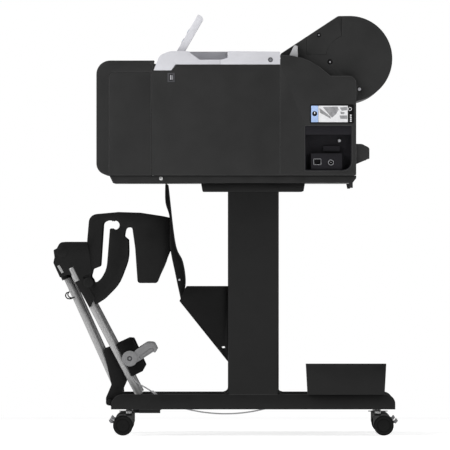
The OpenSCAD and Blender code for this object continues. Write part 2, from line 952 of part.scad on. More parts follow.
plate_outline = rounded([
    [-462, 500, 6], [-461, 540, 30], [-455, 611, 24], [-343, 628, 500], [-231.5, 604, 3],
    [-231.5, 511, 14], [-268, 422.4, 4], [-321, 422.4, 8], [-328, 520, 60], [-336, 577, 6],
    [-355, 576, 9], [-359.5, 552, 6], [-348, 542, 6], [-346.5, 490, 110], [-374, 417, 110],
    [-415, 376, 60], [-453, 352, 3], [-494, 437, 3]
]);

slot_outline = rounded([
    [-405, 596, 5], [-418, 591, 12], [-426, 468, 8], [-447, 460, 5], [-452, 440, 6],
    [-443, 421, 6], [-425, 430, 42], [-407, 460, 75], [-398, 574, 4], [-391, 574, 4],
    [-391, 596, 3]
]);

head_outline = rounded([
    [-462, 536.3, 3], [-536, 536.3, 14], [-545, 519, 3], [-554.5, 514, 4], [-551.5, 494, 3],
    [-555, 478.9, 6], [-536.3, 437.4, 3], [-514, 446, 4], [-480, 437, 8], [-450, 452, 8],
    [-455, 500, 10]
]);

module stacker_plate() {
    difference() {
        union() {
            difference() {
                along_x(plate_x - plate_t / 2, plate_x + plate_t / 2)
                    polygon(plate_outline);
                along_x(plate_x - plate_t, plate_x + plate_t)
                    polygon(slot_outline);
                rod_x(plate_x - plate_t, plate_x + plate_t, [-383.6, 583], 12.5);
            }
            along_x(outer_tube_x - 15, plate_x + 14)
                polygon(head_outline);
            along_x(plate_x - 14, plate_x + 14)
                polygon(rounded([
                    [-453, 352, 3], [-499.5, 434.5, 4], [-478, 446, 3], [-440, 380, 6]
                ]));
            rod_x(plate_x - 10, plate_x + 16, [-530.7, 508.6], 15);
        }
        bar(outer_tube_x, outer_tube, tube_r + 0.1);
        bar(plate_x, inner_tube, tube_r + 0.1);
    }
}

module stacker_plates() {
    color([0.12, 0.12, 0.12])
        both_sides()
            stacker_plate();
}

module stacker_tube(x, ends) {
    difference() {
        bar(x, ends, tube_r);
        bar(x, ends, tube_r - 2, 1);
    }
}

module stacker_tubes() {
    color("silver")
        both_sides() {
            stacker_tube(outer_tube_x, outer_tube);
            stacker_tube(plate_x, inner_tube);
        }
}

module clamp_blocks() {
    color([0.05, 0.05, 0.05])
        both_sides()
            difference() {
                along_x(plate_x - 15, plate_x + 15)
                    polygon(rounded([
                        [-379.8, 252.6, 3], [-346.8, 267.9, 4], [-333.5, 266.8, 5],
                        [-322.2, 242.4, 0], [-299.4, 191, 4], [-306.9, 178, 4], [-337, 162.9, 3]
                    ]));
                bar(plate_x, inner_tube, tube_r + 0.1, 5);
            }
}

module stacker_brackets() {
    color([0.12, 0.12, 0.12])
        both_sides()
            difference() {
                along_x(outer_tube_x - 13, outer_tube_x + 17)
                    polygon(rounded([
                        [-415.8, 237.7, 3], [-397.8, 243.8, 4], [-350.4, 153.5, 4],
                        [-362.9, 125.2, 4], [-361.8, 116, 5], [-390, 80.6, 8],
                        [-409, 84, 8], [-409, 104.4, 6], [-393.9, 140.2, 6]
                    ]));
                bar(outer_tube_x, outer_tube, tube_r + 0.1);
                rod_x(outer_tube_x - 14, outer_tube_x + 18, fold_pivot, 6 + run);
            }
}

module stacker_rods() {
    inner_x = plate_x - plate_t / 2;
    color("dimgray") {
        for (at = [[-441, 588], [-243, 593], [-276, 434], [-458.4, 423.8]])
            rod_x(-inner_x, inner_x, at, 5);
        // between the head blocks
        rod_x(-outer_tube_x + 15, outer_tube_x - 15, [-500, 505], 8);
    }
}

fabric_path = [
    [-454.5, 545], [-453.5, 575], [-449, 596], [-436, 604], [-400, 610], [-343, 614],
    [-290, 610], [-236, 600.5]
];

module stacker_fabric() {
    count = len(fabric_path);
    end_x = plate_x - plate_t / 2 - 1;
    color([0.12, 0.12, 0.12])
        along_x(-end_x, end_x) {
            polygon(concat(
                fabric_path,
                [[-233, 598], [-233, 512], [-268.5, 427], [-272, 427], [-236, 513], [-236, 597]],
                [for (i = [1:count]) fabric_path[count - i] + [0, -2.5] + (i > count - 3 ? [2.5, 0] : [0, 0])]
            ));
        }
}

lever_arm = rounded([
    [-356, 200, 8], [-335, 196, 8], [-314, 208, 10], [-277.7, 231.5, 3], [-272.5, 229, 2],
    [-266.5, 237, 3], [-276, 255.5, 10], [-296, 256.5, 16], [-326.5, 236.5, 12]
]);

lever_recess = rounded([
    [-319, 218, 3], [-288, 241, 4], [-279, 243, 3], [-274, 237, 2], [-283, 231, 3],
    [-312, 212, 3]
]);

module lock_lever() {
    color([0.55, 0.55, 0.56])
        difference() {
            union() {
                rod_x(leg_x - 44.9, leg_x - 34, clamp_centre, 21.7);
                along_x(leg_x - 43, leg_x - 35)
                    polygon(lever_arm);
            }
            rod_x(leg_x - 36, leg_x - 33, clamp_centre, 7);
            along_x(leg_x - 37.5, leg_x - 34)
                polygon(lever_recess);
        }
}

module lock_lever_right() {
    lock_lever();
}

module lock_lever_left() {
    mirror([1, 0, 0])
        lock_lever();
}

placed() main_frame();
placed() side_cover_right();
placed() side_cover_left();
placed() tower_panels();
placed() top_housing_right();
placed() top_housing_left();
placed() rear_cover();
placed() ejection_guide();
placed() platen();
placed() carriage_rail();
placed() drive_belt();
placed() ink_tanks();
placed() maintenance_cartridge();
placed() electrical_units();
placed() connector_panel();
placed() case_screws();
placed() stand_columns();
placed() stand_feet();
placed() stand_stay();
placed() gussets();
placed() guide_sheet();
placed() accessory_pocket();
placed() sensor_cable();
placed() tank_cover_right();
placed() tank_cover_left();
placed() top_cover();
placed() cover_window();
placed() operator_panel();
placed() touch_screen();
placed() power_button();
placed() stop_button();
placed() roll_cover();
placed() paper_roll();
placed() roll_spindle();
placed() release_lever();
placed() carriage();
placed() drive_pulley();
placed() idle_pulley();
placed() feed_roller();
placed() pinch_rollers();
placed() stacker_plates();
placed() stacker_tubes();
placed() clamp_blocks();
placed() stacker_brackets();
placed() stacker_rods();
placed() stacker_fabric();
placed() lock_lever_right();
placed() lock_lever_left();
placed() at_caster(1, -1) caster_fork();  // caster_fork_fr
placed() at_caster(-1, -1) caster_fork();  // caster_fork_fl
placed() at_caster(1, 1) caster_fork();  // caster_fork_rr
placed() at_caster(-1, 1) caster_fork();  // caster_fork_rl
placed() at_caster(1, -1) caster_wheels();  // caster_wheels_fr
placed() at_caster(-1, -1) caster_wheels();  // caster_wheels_fl
placed() at_caster(1, 1) caster_wheels();  // caster_wheels_rr
placed() at_caster(-1, 1) caster_wheels();  // caster_wheels_rl
placed() at_caster(1, -1) caster_brake();  // caster_brake_fr
placed() at_caster(-1, -1) caster_brake();  // caster_brake_fl
placed() at_caster(1, 1) caster_brake();  // caster_brake_rr
placed() at_caster(-1, 1) caster_brake();  // caster_brake_rl
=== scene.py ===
"""Large format plotter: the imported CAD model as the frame, with cloth, trims and finishes."""

import math

import bmesh
import bpy
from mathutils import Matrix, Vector, noise as field


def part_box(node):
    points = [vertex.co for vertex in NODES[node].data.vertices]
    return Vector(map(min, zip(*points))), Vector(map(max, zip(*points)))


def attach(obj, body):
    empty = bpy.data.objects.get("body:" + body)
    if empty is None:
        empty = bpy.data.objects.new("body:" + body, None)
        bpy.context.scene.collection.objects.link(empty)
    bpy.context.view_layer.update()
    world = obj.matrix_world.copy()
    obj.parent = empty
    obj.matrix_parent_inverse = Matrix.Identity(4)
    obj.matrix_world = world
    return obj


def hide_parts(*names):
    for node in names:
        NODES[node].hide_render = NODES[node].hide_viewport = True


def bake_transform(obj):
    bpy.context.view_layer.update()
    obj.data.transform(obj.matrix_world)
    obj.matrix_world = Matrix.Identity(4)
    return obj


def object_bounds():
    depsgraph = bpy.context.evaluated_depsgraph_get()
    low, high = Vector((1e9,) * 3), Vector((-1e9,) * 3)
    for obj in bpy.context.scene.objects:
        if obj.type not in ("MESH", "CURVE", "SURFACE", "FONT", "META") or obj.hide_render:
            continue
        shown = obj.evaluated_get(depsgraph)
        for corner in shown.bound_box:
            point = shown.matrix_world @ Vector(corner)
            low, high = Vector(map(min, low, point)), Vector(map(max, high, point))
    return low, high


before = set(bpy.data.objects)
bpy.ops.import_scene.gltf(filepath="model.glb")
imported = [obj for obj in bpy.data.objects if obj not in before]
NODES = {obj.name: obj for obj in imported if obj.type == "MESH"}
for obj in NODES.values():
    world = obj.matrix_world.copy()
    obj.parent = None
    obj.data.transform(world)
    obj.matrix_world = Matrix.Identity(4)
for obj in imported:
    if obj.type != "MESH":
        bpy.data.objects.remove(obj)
CAD_LOW, CAD_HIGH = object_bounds()
MM = 0.001
CASTERS = ("fr", "fl", "rr", "rl")
# places on the machine are given from the centre of its columns, which is here
COLUMN_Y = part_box("stand_columns")[0].y + 145 * MM
# outer faces of the right cover and of the stacker's right clamp, and the outer tube's middle
COVER_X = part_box("side_cover_right")[1].x
CLAMP_X = 453.9 * MM
OUTER_TUBE_X = 409 * MM
SIDES = ((1, "right"), (-1, "left"))

scene = bpy.context.scene


def spot(y_mm, z_mm):
    """A point of the side view, in metres, from its distances behind the columns' centre and above
    the floor."""
    return COLUMN_Y + y_mm * MM, z_mm * MM


# ---- finishes -------------------------------------------------------------------------------

def linear(value):
    """Linear light of an 8-bit display value."""
    v = value / 255
    return v / 12.92 if v <= 0.04045 else ((v + 0.055) / 1.055) ** 2.4


def colour_of(tone):
    """RGBA of a grey tone, or of a (red, green, blue) tone, on the 0 to 255 display scale."""
    rgb = tone if isinstance(tone, tuple) else (tone, tone, tone)
    return tuple(linear(v) for v in rgb) + (1.0,)


class Finish:
    """A procedural material: a principled shader with helpers that feed it."""

    def __init__(self, name, stretch=(1, 1, 1), turn=0.0, source="Object"):
        self.material = bpy.data.materials.new(name)
        self.material.use_nodes = True
        self.tree = self.material.node_tree
        self.shader = self.tree.nodes["Principled BSDF"]
        coords = self.tree.nodes.new("ShaderNodeTexCoord")
        self.mapping = self.tree.nodes.new("ShaderNodeMapping")
        self.mapping.vector_type = "TEXTURE"
        self.mapping.inputs["Rotation"].default_value = (turn, 0, 0)
        self.mapping.inputs["Scale"].default_value = stretch
        self.link(coords.outputs[source], self.mapping.inputs["Vector"])
        self.place = self.mapping.outputs["Vector"]

    def link(self, a, b):
        self.tree.links.new(a, b)

    def set(self, **values):
        for key, value in values.items():
            self.shader.inputs[key.replace("_", " ")].default_value = value

    def noise(self, size_mm, detail=3.0, roughness=0.55):
        node = self.tree.nodes.new("ShaderNodeTexNoise")
        node.inputs["Scale"].default_value = 1 / (size_mm * MM)
        node.inputs["Detail"].default_value = detail
        node.inputs["Roughness"].default_value = roughness
        self.link(self.place, node.inputs["Vector"])
        return node.outputs["Fac"]

    def remap(self, value, low, high, start=0.3, end=0.7):
        node = self.tree.nodes.new("ShaderNodeMapRange")
        node.inputs["From Min"].default_value = start
        node.inputs["From Max"].default_value = end
        node.inputs["To Min"].default_value = low
        node.inputs["To Max"].default_value = high
        self.link(value, node.inputs["Value"])
        return node.outputs["Result"]

    def math(self, kind, a, b):
        node = self.tree.nodes.new("ShaderNodeMath")
        node.operation = kind
        for socket, value in zip(node.inputs, (a, b)):
            if isinstance(value, (int, float)):
                socket.default_value = value
            else:
                self.link(value, socket)
        return node.outputs["Value"]

    def mix(self, factor, a, b):
        node = self.tree.nodes.new("ShaderNodeMix")
        node.data_type = "RGBA"
        self.link(factor, node.inputs["Factor"])
        for socket, value in zip((node.inputs[6], node.inputs[7]), (a, b)):
            if isinstance(value, tuple):
                socket.default_value = value
            else:
                self.link(value, socket)
        return node.outputs[2]

    def base(self, colour):
        self.link(colour, self.shader.inputs["Base Color"])

    def crevice_shade(self, reach_mm):
        """Ambient occlusion for painted shade: 1 on open surfaces, falling towards 0 inside gaps and corners.
        """
        node = self.tree.nodes.new("ShaderNodeAmbientOcclusion")
        node.samples = 8
        node.inputs["Distance"].default_value = reach_mm * MM
        return node.outputs["AO"]

    def edge(self, radius_mm):
        """1 along the edges of the piece, within the radius, and 0 on its flat faces."""
        bevel = self.tree.nodes.new("ShaderNodeBevel")
        bevel.samples = 6
        bevel.inputs["Radius"].default_value = radius_mm * MM
        flat = self.tree.nodes.new("ShaderNodeNewGeometry")
        dot = self.tree.nodes.new("ShaderNodeVectorMath")
        dot.operation = "DOT_PRODUCT"
        self.link(bevel.outputs["Normal"], dot.inputs[0])
        self.link(flat.outputs["Normal"], dot.inputs[1])
        return self.remap(dot.outputs["Value"], 1, 0, 0.9, 0.995)

    def bump(self, height, depth_mm, strength=1.0):
        node = self.tree.nodes.new("ShaderNodeBump")
        node.inputs["Strength"].default_value = strength
        node.inputs["Distance"].default_value = depth_mm * MM
        self.link(height, node.inputs["Height"])
        self.link(node.outputs["Normal"], self.shader.inputs["Normal"])


def shade(tone, factor):
    """The tone made darker or lighter."""
    if isinstance(tone, tuple):
        return tuple(min(255, v * factor) for v in tone)
    return min(255, tone * factor)


def surface(name, tone, roughness, grain_mm=0.9, grain_depth=0.05, mottle=0.05, mottle_mm=70,
            dust=0.0, gap=0.3, edge_wear_and_highlight=1.0, **values):
    """Moulded, painted or cast surface: mottled colour, uneven gloss, fine grain and light dust.
    In narrow gaps and corners its colour falls to the share that gap gives, as painted shade. Along
    edges it is polished lighter by the factor wear, which paints a highlight there as well."""
    f = Finish(name)
    cloud = f.noise(mottle_mm, 4)
    colour = f.mix(f.remap(cloud, 0, 1), colour_of(shade(tone, 1 - mottle)),
                   colour_of(shade(tone, 1 + mottle)))
    if dust:
        speck = f.remap(f.noise(2.2, 6, 0.7), 0, dust, 0.62, 0.8)
        colour = f.mix(speck, colour, colour_of(150))
    # edges polished lighter by rubbing, together with a painted highlight along them
    if edge_wear_and_highlight > 1:
        colour = f.mix(f.edge(2.4), colour, colour_of(shade(tone, edge_wear_and_highlight)))
    # painted shade: the colour falls towards the tone times gap inside gaps and corners
    colour = f.mix(f.remap(f.crevice_shade(5), 0, 1, 0.3, 0.9), colour_of(shade(tone, gap)), colour)
    f.base(colour)
    f.link(f.remap(cloud, roughness - 0.05, roughness + 0.06), f.shader.inputs["Roughness"])
    f.bump(f.noise(grain_mm, 3, 0.6), grain_depth)
    f.set(**values)
    return f.material


def brushed(name, tone, roughness=0.3, turn=0.0, line_mm=0.6, metallic=1.0):
    """Drawn metal with fine lines along its length, which leans back from +Z by the angle turn."""
    f = Finish(name, (1, 1, 60), turn)
    lines = f.noise(line_mm, 2)
    f.base(f.mix(f.remap(lines, 0, 1), colour_of(shade(tone, 0.92)), colour_of(shade(tone, 1.05))))
    f.link(f.remap(lines, roughness - 0.06, roughness + 0.08), f.shader.inputs["Roughness"])
    f.bump(lines, 0.01)
    f.set(Metallic=metallic)
    return f.material


def woven(name, tone, length, sheen, thread_mm=1.4, hem_mm=14.0):
    """Plain woven cloth; the UV map is in metres across and along the sheet, which has the length."""
    f = Finish(name, source="UV")
    split = f.tree.nodes.new("ShaderNodeSeparateXYZ")
    f.link(f.place, split.inputs["Vector"])
    across, along = split.outputs["X"], split.outputs["Y"]
    turns = 2 * math.pi / (thread_mm * MM)
    warp = f.math("SINE", f.math("MULTIPLY", across, turns), 0)
    weft = f.math("SINE", f.math("MULTIPLY", along, turns), 0)
    weave = f.math("MULTIPLY", warp, weft)
    fuzz = f.noise(0.5, 3)
    height = f.math("ADD", f.math("MULTIPLY", weave, 0.5), fuzz)
    cloud = f.noise(45, 4)
    lit = f.mix(f.remap(cloud, 0, 1), colour_of(shade(tone, 0.86)), colour_of(shade(tone, 1.14)))
    threads = f.mix(f.remap(weave, 0, 1, -0.7, 0.7), colour_of(shade(tone, 0.7)), lit)
    # a row of stitches along the hem at each of the sheet's two ends
    stitch_width = 1.4 * MM
    stitch_pitch = 5 * MM
    from_end = f.math("MINIMUM", along, f.math("SUBTRACT", length, along))
    from_row = f.math("ABSOLUTE", f.math("SUBTRACT", from_end, hem_mm * MM), 0)
    row = f.math("LESS_THAN", from_row, stitch_width / 2)
    wave = f.math("SINE", f.math("MULTIPLY", across, 2 * math.pi / stitch_pitch), 0)
    dash = f.math("GREATER_THAN", wave, -0.3)
    stitch = f.math("MULTIPLY", row, dash)
    f.base(f.mix(stitch, threads, colour_of(shade(tone, 2.6))))
    f.bump(f.math("ADD", height, f.math("MULTIPLY", stitch, 1.5)), 0.12, 0.8)
    f.set(Roughness=0.92, Sheen_Weight=sheen, Sheen_Roughness=0.6, Specular_IOR_Level=0.12)
    return f.material


def screen_glass(name, low, high):
    """Dark glass over a lit page of plain tiles, laid out between two corners of the panel."""
    f = Finish(name)
    split = f.tree.nodes.new("ShaderNodeSeparateXYZ")
    f.link(f.place, split.inputs["Vector"])
    u = f.remap(split.outputs["X"], 0, 1, low.x, high.x)
    v = f.remap(split.outputs["Z"], 0, 1, low.z, high.z)

    def inside(value, count, gap):
        cell = f.math("FRACT", f.math("MULTIPLY", value, count), 0)
        far = f.math("ABSOLUTE", f.math("SUBTRACT", cell, 0.5), 0)
        return f.math("LESS_THAN", far, 0.5 - gap)

    tiles = f.math("MULTIPLY", inside(u, 4, 0.12), inside(v, 3, 0.16))
    body = f.math("LESS_THAN", v, 0.84)
    page = f.mix(f.math("MULTIPLY", tiles, body), colour_of((14, 20, 30)), colour_of((40, 84, 120)))
    page = f.mix(body, colour_of((52, 60, 72)), page)
    f.base(with_smears(f, page))
    f.link(page, f.shader.inputs["Emission Color"])
    f.set(Roughness=0.08, Coat_Weight=0.6, Emission_Strength=0.35)
    return f.material


def with_smears(f, colour):
    """The colour with the faint smears that fingers leave on glass."""
    return f.mix(f.remap(f.noise(9, 4), 0, 0.08), colour, colour_of(120))


def smoked(name):
    """Clear smoked plastic of the top cover's window."""
    f = Finish(name)
    f.base(f.mix(f.remap(f.noise(80, 3), 0, 1), colour_of((46, 50, 56)), colour_of((58, 63, 70))))
    f.link(f.remap(f.noise(14, 5), 0.06, 0.16), f.shader.inputs["Roughness"])
    f.set(Transmission_Weight=0.75, IOR=1.46)
    return f.material


def stem_and_plastic(name, tone, reach_mm, low_z):
    """Black caster plastic whose swivel stem, the part near the swivel axis and above low_z, is steel."""
    f = Finish(name)
    cloud = f.noise(30, 3)
    plain = f.mix(f.remap(cloud, 0, 1), colour_of(shade(tone, 0.92)), colour_of(shade(tone, 1.08)))
    split = f.tree.nodes.new("ShaderNodeSeparateXYZ")
    f.link(f.place, split.inputs["Vector"])
    stem = None
    for side in (-1, 1):
        for end in (-1, 1):
            dx = f.math("SUBTRACT", split.outputs["X"], side * STEM.x)
            dy = f.math("SUBTRACT", split.outputs["Y"], COLUMN_Y + end * STEM.y)
            reach = f.math("SQRT", f.math("ADD", f.math("MULTIPLY", dx, dx), f.math("MULTIPLY", dy, dy)), 0)
            near = f.math("LESS_THAN", reach, reach_mm * MM)
            stem = near if stem is None else f.math("MAXIMUM", stem, near)
    steel = f.math("MULTIPLY", stem, f.math("GREATER_THAN", split.outputs["Z"], low_z))
    f.base(f.mix(steel, plain, colour_of(190)))
    f.link(steel, f.shader.inputs["Metallic"])
    f.link(f.remap(cloud, 0.38, 0.5), f.shader.inputs["Roughness"])
    f.bump(f.noise(0.9, 3), 0.04)
    return f.material


# ---- mesh helpers ---------------------------------------------------------------------------

def piece(name, verts, faces, material, body=None, uvs=None):
    """A new mesh piece from points in metres; it rides on the body if one is named."""
    mesh = bpy.data.meshes.new(name)
    mesh.from_pydata([tuple(v) for v in verts], [], faces)
    mesh.validate()
    if uvs:
        layer = mesh.uv_layers.new(name="UVMap")
        for loop in mesh.loops:
            layer.data[loop.index].uv = uvs[loop.vertex_index]
    for polygon in mesh.polygons:
        polygon.use_smooth = True
    mesh.materials.append(material)
    obj = bpy.data.objects.new(name, mesh)
    scene.collection.objects.link(obj)
    if body:
        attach(obj, body)
    return obj


def soften(obj, width_mm, segments=3, angle=30):
    """Rounded edges on a built piece."""
    bevel = obj.modifiers.new("edges", "BEVEL")
    bevel.width = width_mm * MM
    bevel.segments = segments
    bevel.limit_method = "ANGLE"
    bevel.angle_limit = math.radians(angle)
    bevel.harden_normals = True
    return obj


def prism(name, outline, x0, x1, material, body, round_mm=0.3):
    """A slab between x0 and x1 with the [(y, z), ...] outline, its edges rounded."""
    count = len(outline)
    verts = [(x, y, z) for x in (x0, x1) for y, z in outline]
    faces = [tuple(range(count))[::-1], tuple(range(count, 2 * count))]
    faces += [(i, (i + 1) % count, count + (i + 1) % count, count + i) for i in range(count)]
    obj = piece(name, verts, faces, material, body)
    clean_normals(obj)
    return soften(obj, round_mm)


def clean_normals(obj):
    """Turns all faces of the piece outwards."""
    mesh = bmesh.new()
    mesh.from_mesh(obj.data)
    bmesh.ops.recalc_face_normals(mesh, faces=mesh.faces)
    mesh.to_mesh(obj.data)
    mesh.free()


def rectangle(centre, size, radius, steps=5):
    """Rounded rectangle about centre (y, z), in metres."""
    points = []
    for quarter in range(4):
        sy = 1 if quarter in (0, 3) else -1
        sz = 1 if quarter in (0, 1) else -1
        middle = (centre[0] + sy * (size[0] / 2 - radius), centre[1] + sz * (size[1] / 2 - radius))
        for i in range(steps + 1):
            a = math.pi / 2 * (quarter + i / steps)
            points.append((middle[0] + radius * math.cos(a), middle[1] + radius * math.sin(a)))
    return points


def turned(name, profile, centre, axis, material, body, steps=40):
    """A lathe-turned piece: profile is [(radius, height), ...] in metres along the axis."""
    axis = Vector(axis).normalized()
    side = axis.orthogonal().normalized()
    other = axis.cross(side)
    verts = []
    for radius, height in profile:
        for i in range(steps):
            a = 2 * math.pi * i / steps
            verts.append(Vector(centre) + axis * height + (side * math.cos(a) + other * math.sin(a)) * radius)
    faces = []
    for j in range(len(profile) - 1):
        for i in range(steps):
            k = (i + 1) % steps
            faces.append((j * steps + i, j * steps + k, (j + 1) * steps + k, (j + 1) * steps + i))
    faces.append(tuple(range(steps))[::-1])
    last = (len(profile) - 1) * steps
    faces.append(tuple(range(last, last + steps)))
    obj = piece(name, verts, faces, material, body)
    clean_normals(obj)
    return soften(obj, 0.25, 2, 40)


def smooth_line(points, steps=8):
    """Catmull-Rom curve through the points."""
    line = []
    for i in range(len(points) - 1):
        p = [Vector(points[min(max(i + k, 0), len(points) - 1)]) for k in (-1, 0, 1, 2)]
        for s in range(steps):
            t = s / steps
            line.append(0.5 * (2 * p[1] + (p[2] - p[0]) * t + (2 * p[0] - 5 * p[1] + 4 * p[2] - p[3]) * t ** 2
                               + (3 * p[1] - p[0] - 3 * p[2] + p[3]) * t ** 3))
    line.append(Vector(points[-1]))
    return line


def swept(name, points, radius, material, body=None, sides=12, steps=8):
    """A round cord or wire along a smooth line through the points."""
    line = smooth_line(points, steps)
    normal = None
    verts = []
    for i, point in enumerate(line):
        ahead = (line[min(i + 1, len(line) - 1)] - line[max(i - 1, 0)]).normalized()
        normal = ahead.orthogonal() if normal is None else normal - ahead * normal.dot(ahead)
        normal.normalize()
        other = ahead.cross(normal)
        for s in range(sides):
            a = 2 * math.pi * s / sides
            verts.append(point + (normal * math.cos(a) + other * math.sin(a)) * radius)
    faces = [tuple(range(sides))[::-1], tuple(range(len(verts) - sides, len(verts)))]
    for i in range(len(line) - 1):
        for s in range(sides):
            k = (s + 1) % sides
            faces.append((i * sides + s, i * sides + k, (i + 1) * sides + k, (i + 1) * sides + s))
    return piece(name, verts, faces, material, body)


# ---- cloth ----------------------------------------------------------------------------------

def cloth_sheet(name, path, x0, x1, columns, rows, material, wave_mm):
    """A sheet that follows the (y, z) path, drawn in metres, and runs from x0 to x1.
    It gets soft folds and a UV map in metres."""
    points = even_points(path, rows)
    total = sum((b - a).length for a, b in zip(points, points[1:]))
    verts, uvs = [], []
    for r, point in enumerate(points):
        tangent = (points[min(r + 1, rows)] - points[max(r - 1, 0)]).normalized()
        out = Vector((0, -tangent.z, tangent.y))
        hold = math.sin(math.pi * r / rows)
        for c in range(columns + 1):
            x = x0 + (x1 - x0) * c / columns
            edge = min(1.0, min(c, columns - c) / 4)
            fold = field.noise(Vector((x * 7, r / rows * 1.7, 3.1))) * wave_mm
            crease = field.noise(Vector((x * 23, r / rows * 5, 8.7))) * wave_mm * 0.25
            shift = out * (fold + crease) * hold * edge * MM
            verts.append(Vector((x, point.y, point.z)) + shift)
            uvs.append((x - x0, total * r / rows))
    faces = []
    for r in range(rows):
        for c in range(columns):
            a = r * (columns + 1) + c
            faces.append((a, a + 1, a + columns + 2, a + columns + 1))
    return piece(name, verts, faces, material, uvs=uvs)


def even_points(path, count):
    """Points at even distances along the smooth line through a (y, z) path."""
    line = smooth_line([(0, y, z) for y, z in path], 10)
    lengths = [0.0]
    for a, b in zip(line, line[1:]):
        lengths.append(lengths[-1] + (b - a).length)
    points = []
    j = 0
    for r in range(count + 1):
        want = lengths[-1] * r / count
        while j < len(line) - 2 and lengths[j + 1] < want:
            j += 1
        points.append(line[j].lerp(line[j + 1], (want - lengths[j]) / (lengths[j + 1] - lengths[j])))
    return points


def pouch(name, front, back, x0, x1, columns, material, wave_mm):
    """Two cloth walls, given as points from top to bottom, sewn together all round."""
    ring_points = [(p, k, -1) for k, p in enumerate(front)]
    ring_points += [(p, k, 1) for k, p in reversed(list(enumerate(back)))]
    count, last = len(ring_points), len(front) - 1
    verts, uvs = [], []
    for c in range(columns + 1):
        x = x0 + (x1 - x0) * c / columns
        edge = min(1.0, min(c, columns - c) / 4)
        for point, k, side in ring_points:
            hold = math.sin(math.pi * k / last)
            fold = field.noise(Vector((x * 7, k / last * 1.7, 3.1)))
            crease = field.noise(Vector((x * 23, k / last * 5, 8.7 + side))) * 0.25
            shift = (fold + crease) * hold * edge * wave_mm * MM
            verts.append(Vector((x, point.y + shift, point.z)))
            uvs.append((x - x0, k / last * 0.36))
    faces = []
    for c in range(columns):
        for k in range(count):
            a, b = c * count + k, c * count + (k + 1) % count
            faces.append((a, b, b + count, a + count))
    for end in (0, columns * count):
        for k in range(last):
            faces.append((end + k, end + k + 1, end + count - 2 - k, end + count - 1 - k))
    obj = piece(name, verts, faces, material, uvs=uvs)
    clean_normals(obj)
    smooth = obj.modifiers.new("smooth", "SUBSURF")
    smooth.levels = 1
    smooth.render_levels = 1
    return obj


def drape(obj, pinned, limit_mm, frames=24, slack=0.006):
    """Lets the sheet settle under gravity with the pinned points held, then keeps the result.
    No point ends further than the limit from where it was drawn."""
    drawn = [v.co.copy() for v in obj.data.vertices]
    group = obj.vertex_groups.new(name="held")
    group.add(pinned, 1.0, "REPLACE")
    cloth = obj.modifiers.new("settle", "CLOTH")
    settings = cloth.settings
    settings.quality = 6
    settings.mass = 0.25
    settings.tension_stiffness = 25
    settings.compression_stiffness = 12
    settings.shear_stiffness = 8
    settings.bending_stiffness = 1.2
    settings.air_damping = 3
    settings.vertex_group_mass = "held"
    settings.shrink_min = -slack
    cloth.collision_settings.use_collision = False
    for number in range(1, frames + 1):
        scene.frame_set(number)
    settled = obj.evaluated_get(bpy.context.evaluated_depsgraph_get())
    mesh = bpy.data.meshes.new_from_object(settled)
    obj.modifiers.clear()
    obj.vertex_groups.clear()
    obj.data = mesh
    for start, v in zip(drawn, mesh.vertices):
        move = v.co - start
        if move.length > limit_mm * MM:
            v.co = start + move.normalized() * limit_mm * MM
    scene.frame_set(1)
    return obj


def thicken(obj, thickness_mm):
    """Gives a sheet its thickness and smooths it."""
    solid = obj.modifiers.new("thickness", "SOLIDIFY")
    solid.thickness = thickness_mm * MM
    solid.offset = 0
    smooth = obj.modifiers.new("smooth", "SUBSURF")
    smooth.levels = 1
    smooth.render_levels = 1
    return obj


# ---- materials ------------------------------------------------------------------------------

STEM = Vector((0.5, 0.345))
TUBE_LEAN = math.radians(24.4)

# in the finishes below, gap is the share of the tone left in the painted shade of gaps and corners
charcoal = surface("charcoal_cover", 41, 0.5, 0.9, 0.06, dust=0.04, gap=0.05, edge_wear_and_highlight=1.9,
                   Specular_IOR_Level=0.16)
hood_black = surface("hood_charcoal", 41, 0.48, 0.9, 0.06, dust=0.04, gap=0.05, edge_wear_and_highlight=1.6,
                     Specular_IOR_Level=0.16)
pale = surface("light_grey_cover", (203, 203, 208), 0.42, 0.8, 0.04, 0.025, 90, gap=0.75,
               Specular_IOR_Level=0.3)
panel_pale = surface("panel_grey", (205, 205, 210), 0.4, 0.8, 0.04, 0.03, 60, gap=0.7,
                     Specular_IOR_Level=0.3)
inner_grey = surface("inner_grey", (28, 27, 31), 0.55, 0.9, 0.05, 0.08, 40, Specular_IOR_Level=0.12)
frame_paint = surface("frame_paint", 34, 0.42, 0.5, 0.05, 0.08, 40, Specular_IOR_Level=0.15)
stand_paint = surface("stand_paint", 25, 0.45, 0.45, 0.08, 0.07, 60, dust=0.06, edge_wear_and_highlight=2.2,
                      Specular_IOR_Level=0.14)
gusset_paint = surface("gusset_paint", 14, 0.45, 0.45, 0.08, 0.1, 40, edge_wear_and_highlight=2, Specular_IOR_Level=0.1)
tray_black = surface("tray_black", 27, 0.5, 0.9, 0.06, 0.06, 50, edge_wear_and_highlight=1.6, Specular_IOR_Level=0.14)
stacker_black = surface("stacker_black", 22, 0.46, 0.9, 0.06, 0.08, 60, dust=0.04, edge_wear_and_highlight=1.5,
                        Specular_IOR_Level=0.12)
clamp_black = surface("clamp_black", 6, 0.4, 0.8, 0.05, 0.15, 25, Specular_IOR_Level=0.1)
lever_grey = surface("lever_grey", (124, 124, 125), 0.42, 0.7, 0.05, 0.05, 25, gap=0.6,
                     Specular_IOR_Level=0.3)
release_grey = surface("release_grey", (172, 172, 174), 0.4, 0.7, 0.04, 0.05, 25, gap=0.6,
                       Specular_IOR_Level=0.3)
rubber = surface("rubber", 21, 0.75, 0.4, 0.06, 0.12, 20, dust=0.1, Specular_IOR_Level=0.12)
roller_rubber = surface("roller_rubber", 40, 0.7, 0.3, 0.05, 0.1, 20, Specular_IOR_Level=0.2)
button_grey = surface("button_grey", (110, 111, 116), 0.45, 0.5, 0.04, 0.05, 10)
